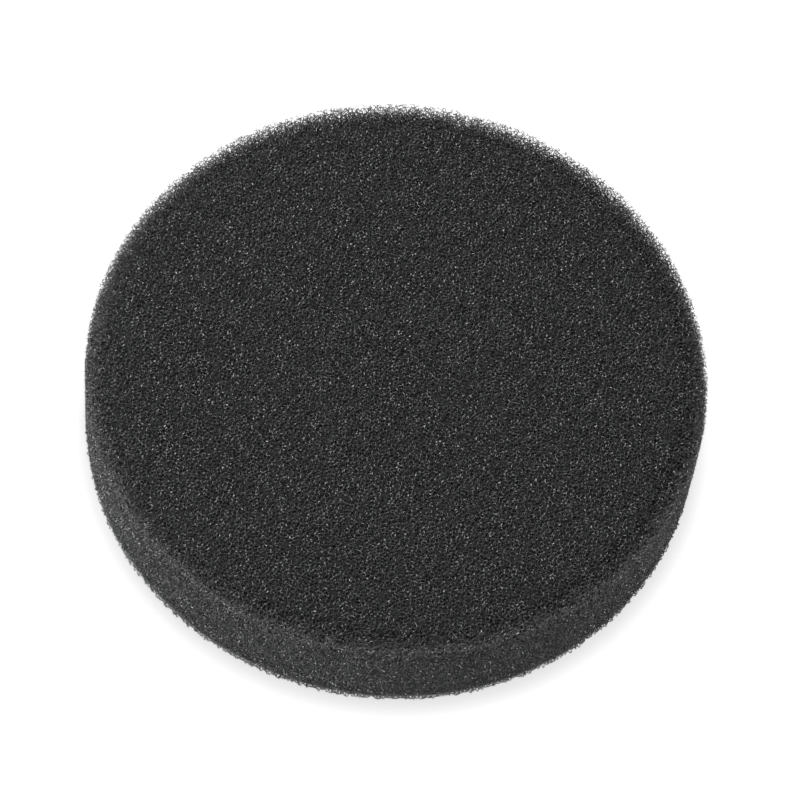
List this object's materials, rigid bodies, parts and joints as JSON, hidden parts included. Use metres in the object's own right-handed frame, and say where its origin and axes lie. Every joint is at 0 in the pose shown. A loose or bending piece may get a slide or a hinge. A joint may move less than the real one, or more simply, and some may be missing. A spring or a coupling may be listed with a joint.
{
  "type": "foam polishing pad",
  "caption": "Flat round pad of open-cell foam with straight cut sides and a loop-cloth backing, for a machine polisher's hook plate.",
  "frame": {"origin": "middle of the loop face, which is also the bottom of the pad's box", "axes": "+Z along the pad's axis, from the loop face to the working face; the rows of loops run along Y"},
  "size_m": [0.15, 0.15, 0.0268],
  "materials": {
    "foam": "matte",
    "film": "satin",
    "ground_cloth": "matte",
    "pile": "satin"
  },
  "bodies": {
    "root": {"foam_disc": "foam", "bond_film": "film", "loop_ground": "ground_cloth", "loop_pile": "pile"}
  },
  "joints": []
}
